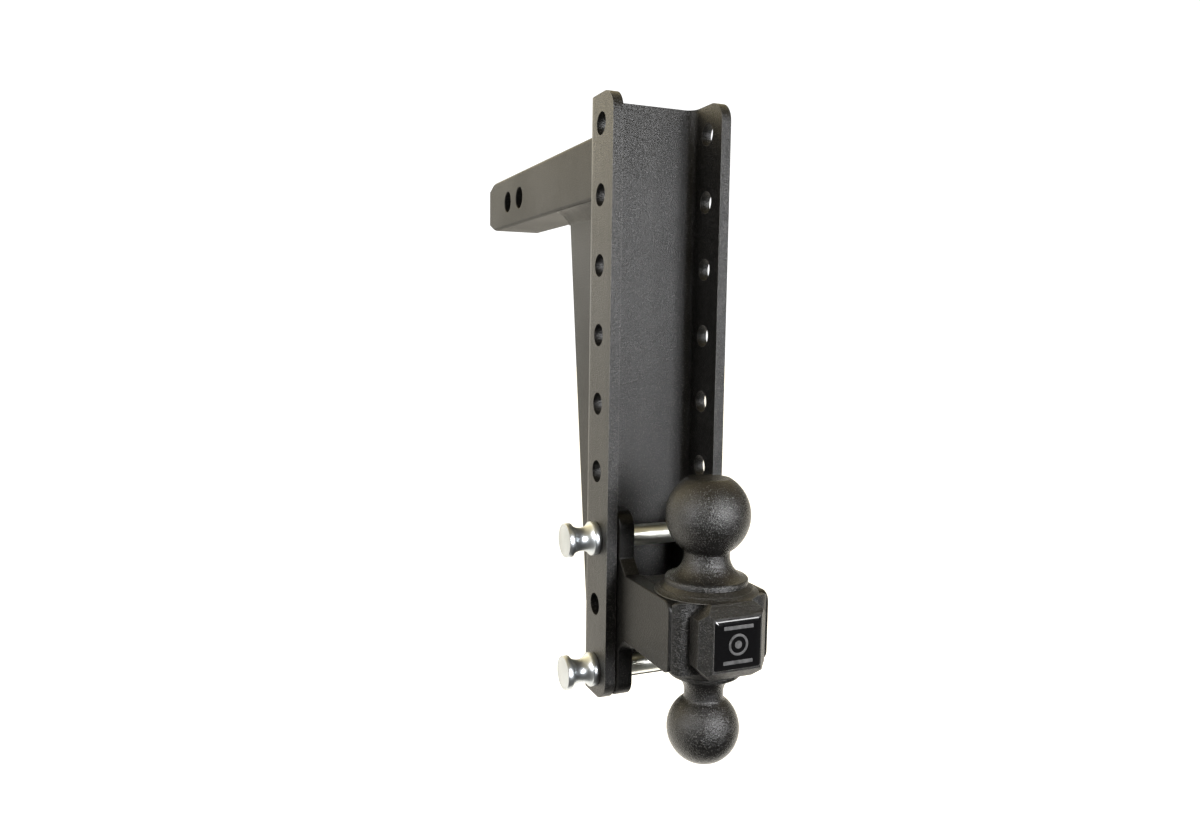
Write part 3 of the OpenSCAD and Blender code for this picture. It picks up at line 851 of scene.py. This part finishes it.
def knob_profile(length):
    """Two discs with a hollow waist between them."""
    big, disc, waist, edge = 12.7, 5.0, 8.6, 0.8
    nick = edge * 0.3
    span, rise = length / 2 - disc, big - edge - waist
    bend = (span * span + rise * rise) / (2 * rise)
    half = math.degrees(math.asin(span / bend))
    outline = [(0, 0), (big - edge, 0), (big - nick, nick), (big, edge)]
    outline += [(big, disc - 0.5), (big - 0.2, disc - 0.15)]
    outline += arc(waist + bend, length / 2, bend, 180 + half, 180 - half, 30)
    outline += [(big - 0.2, length - disc + 0.15), (big, length - disc + 0.5)]
    outline += [(big, length - edge), (big - nick, length - nick), (big - edge, length)]
    # fine groove near the rim of the outer face
    outline += [(big - 2.2, length), (big - 2.5, length - 0.12), (big - 2.8, length)]
    return outline + [(0, length)]


def build_pins():
    face = CHANNEL_LOW.x
    clip_hole_r = 2.0
    for name in ("upper", "lower"):
        low, high = box_mm(name + "_pin")
        at = middle(name + "_pin")
        profile = pin_profile((high.z - low.z) / 2, high.x - face)
        pin = lathe(name + "_pin_shaft", profile, (face, at.y, at.z), RIGHT, 96)
        clip_x = middle(name + "_clip").x
        ends = (at.z - THROUGH, at.z + THROUGH)
        combine(pin, [rod("hole", "Z", (clip_x, at.y), clip_hole_r, *ends, 32)], "DIFFERENCE")
        smooth(pin, 30)
        place(pin, name + "_pull_pin", [name + "_pin"], pin_steel)

        # the knob stands on the channel's left face
        low, high = box_mm(name + "_pin_knob")
        profile = knob_profile(high.x - low.x)
        knob = lathe(name + "_knob_turned", profile, (high.x, at.y, at.z), LEFT, 112)
        smooth(knob, 30)
        place(knob, name + "_pull_pin", [name + "_pin_knob"], stainless)


def clip_path(wire_r):
    """Middle line of the spring clip about the pin's axis: (towards the front, up)."""
    pin_r, gap, bend = 7.94, 0.3, 4.0
    bow = pin_r + gap + wire_r
    a = math.radians(50)
    start = math.radians(100)
    neck = ((bow + bend) * math.cos(a), (bow + bend) * math.sin(a))
    ring_r = (neck[0] + bend * math.cos(start)) / (1 - math.cos(start))
    ring = (ring_r, neck[1] + (bend + ring_r) * math.sin(start))
    # straight leg through the pin, finger ring, bow round the pin, lip that eases it on
    path = [(0, v) for v in (-25.0, -15.0, -5.0, 5.0, 13.0)]
    path += arc(*ring, ring_r, 180, -80, 40)
    path += arc(*neck, bend, 100, 230, 18)[1:]
    path += arc(0, 0, bow, 50, -50, 18)[1:]
    path += arc(neck[0], -neck[1], bend, 130, 225, 14)[1:]
    u, v = path[-1]
    lip = 1.77
    return path + [(u + lip, v - lip), (u + 2 * lip, v - 2 * lip)]


def tube(name, path, r, sides=20):
    """Round wire along a path with rounded ends."""
    verts, faces = [], []
    last = len(path) - 1
    normal = Vector((1, 0, 0))
    # (point of the path, push along it, share of the radius) of each ring
    stops = [(0, -0.9, 0.45), (0, -0.5, 0.85)]
    stops += [(i, 0, 1) for i in range(last + 1)]
    stops += [(last, 0.5, 0.85), (last, 0.9, 0.45)]
    for i, push, scale in stops:
        along = (path[min(last, i + 1)] - path[max(0, i - 1)]).normalized()
        side = along.cross(normal).normalized()
        for k in range(sides):
            a = 2 * math.pi * k / sides
            spoke = normal * math.cos(a) + side * math.sin(a)
            verts.append(path[i] + along * push * r + spoke * r * scale)
    for a in range(0, len(verts) - sides, sides):
        for k in range(sides):
            j = (k + 1) % sides
            faces.append((a + k, a + j, a + sides + j, a + sides + k))
    faces.append(list(range(sides))[::-1])
    faces.append(list(range(len(verts) - sides, len(verts))))
    obj = new_object(name, verts, faces)
    smooth(obj, 50)
    return obj


def build_clips():
    wire_r = 1.6
    for name in ("upper", "lower"):
        at = middle(name + "_pin")
        x = middle(name + "_clip").x
        path = [Vector((x, at.y - u, at.z + v)) for u, v in clip_path(wire_r)]
        clip = tube(name + "_clip_wire", path, wire_r)
        place(clip, name + "_spring_clip", [name + "_clip"], wire_steel)


build_channel()
build_shank()
build_gusset()
build_shank_weld()
build_gusset_welds()
build_cheek_welds()
build_ball_welds()
build_block()
build_cheeks()
build_balls()
build_badge()
build_pins()
build_clips()


# ---------------------------------------------------------------- floor, light and camera
def build_floor():
    # it starts under the channel and reaches far behind the object
    size, front, drop = 12.0, -0.3, 0.32
    z = cad_box[0].z - drop
    mesh = bpy.data.meshes.new("studio_floor")
    corners = [(-size, front, z), (size, front, z), (size, size, z), (-size, size, z)]
    mesh.from_pydata(corners, [], [(0, 1, 2, 3)])
    floor = bpy.data.objects.new("studio_floor", mesh)
    scene.collection.objects.link(floor)
    m = Nodes("pale_floor")
    tone = m.ramp(m.noise(3.0, 3.0, 0.5), [(0.3, [0.7] * 3), (0.7, [0.73] * 3)])
    m.link(tone, "Color", m.shader, "Base Color")
    m.shader.inputs["Roughness"].default_value = 0.9
    m.link(tone, "Color", m.shader, "Emission Color")
    m.shader.inputs["Emission Strength"].default_value = 1.05
    mesh.materials.append(m.material)


# the studio's bright side, seen from the object
BRIGHT_SIDE = Vector((-0.35, 0.93, -0.1)).normalized()
# its brightness from the opposite side (0) round to the bright side (1), and its colour
STUDIO = ((0.0, 0.07), (0.45, 0.22), (0.84, 0.6), (0.97, 1.95))
STUDIO_TINT = (1, 0.97, 0.895)
# what that is multiplied with, from level (0) to overhead (1)
OVERHEAD = ((0.12, (1, 1, 1)), (0.6, (3.1, 2.7, 1.8)))
# strength of the plain white that the camera sees behind the object
BACKDROP = 1.2


def build_world():
    world = bpy.data.worlds.new("studio")
    scene.world = world
    world.use_nodes = True
    tree = world.node_tree
    tree.nodes.clear()
    link = tree.links.new

    def add(kind, **values):
        node = tree.nodes.new(kind)
        for key, value in values.items():
            setattr(node, key, value)
        return node

    def ramp(stops):
        node = add("ShaderNodeValToRGB")
        elements = node.color_ramp.elements
        while len(elements) < len(stops):
            elements.new(0.5)
        for element, (at, colour) in zip(elements, stops):
            element.position = at
            element.color = (*colour, 1)
        return node

    where = add("ShaderNodeTexCoord")
    dot = add("ShaderNodeVectorMath", operation="DOT_PRODUCT")
    dot.inputs[1].default_value = BRIGHT_SIDE
    link(where.outputs["Generated"], dot.inputs[0])
    # from -1..1 to 0..1
    half = add("ShaderNodeMath", operation="MULTIPLY_ADD")
    half.inputs[1].default_value = 0.5
    half.inputs[2].default_value = 0.5
    link(dot.outputs["Value"], half.inputs[0])
    level = ramp([(at, [value * c for c in STUDIO_TINT]) for at, value in STUDIO])
    link(half.outputs[0], level.inputs[0])
    split = add("ShaderNodeSeparateXYZ")
    link(where.outputs["Generated"], split.inputs[0])
    over = ramp(OVERHEAD)
    link(split.outputs["Z"], over.inputs[0])
    shade = add("ShaderNodeMix", data_type="RGBA", blend_type="MULTIPLY")
    shade.inputs["Factor"].default_value = 1.0
    link(level.outputs["Color"], shade.inputs["A"])
    link(over.outputs["Color"], shade.inputs["B"])
    lit = add("ShaderNodeBackground")
    link(shade.outputs["Result"], lit.inputs["Color"])
    white = add("ShaderNodeBackground")
    white.inputs["Color"].default_value = (1, 1, 1, 1)
    white.inputs["Strength"].default_value = BACKDROP
    path = add("ShaderNodeLightPath")
    both = add("ShaderNodeMixShader")
    link(path.outputs["Is Camera Ray"], both.inputs[0])
    link(lit.outputs[0], both.inputs[1])
    link(white.outputs[0], both.inputs[2])
    link(both.outputs[0], add("ShaderNodeOutputWorld").inputs[0])


def softbox(name, azimuth, elevation, size, power, colour=(1, 1, 1)):
    """Area light that looks at the ball mount; azimuth 0 is in front and 90 at its right."""
    target, distance = Vector((0, -0.34, -0.25)), 1.3
    data = bpy.data.lights.new(name, "AREA")
    data.shape = "RECTANGLE"
    data.size, data.size_y = size
    data.energy = power
    data.color = colour
    light = bpy.data.objects.new(name, data)
    scene.collection.objects.link(light)
    a, e = math.radians(azimuth), math.radians(elevation)
    way = Vector((math.sin(a) * math.cos(e), -math.cos(a) * math.cos(e), math.sin(e)))
    light.location = target + way * distance
    light.rotation_euler = (-way).to_track_quat("-Z", "Y").to_euler()
    light.visible_camera = False


def build_camera():
    data = bpy.data.cameras.new("photo_camera")
    data.sensor_width = 36.0
    data.lens = 27.58
    camera = bpy.data.objects.new("photo_camera", data)
    scene.collection.objects.link(camera)
    # turned to the right of +Y by yaw, then down by pitch, then rolled, in radians
    yaw, pitch, roll = 0.3996, 0.0954, 0.014
    level = math.cos(pitch)
    ahead = Vector((math.sin(yaw) * level, math.cos(yaw) * level, -math.sin(pitch)))
    right = Vector((math.cos(yaw), -math.sin(yaw), 0))
    up = right.cross(ahead)
    rolled_right = right * math.cos(roll) + up * math.sin(roll)
    rolled_up = -right * math.sin(roll) + up * math.cos(roll)
    m = Matrix((rolled_right, rolled_up, -ahead)).transposed().to_4x4()
    m.translation = Vector((-0.3106, -0.9288, -0.1257))
    camera.matrix_world = m
    scene.camera = camera


build_floor()
build_world()
COOL = (0.98, 0.985, 1.0)
softbox("key_right", 13, 11, (0.36, 0.6), 32, COOL)
softbox("key_left", -70, 17, (0.3, 0.6), 16, COOL)
softbox("badge_strip", 33, 15, (0.4, 0.16), 5)
build_camera()
scene.view_settings.view_transform = "Standard"
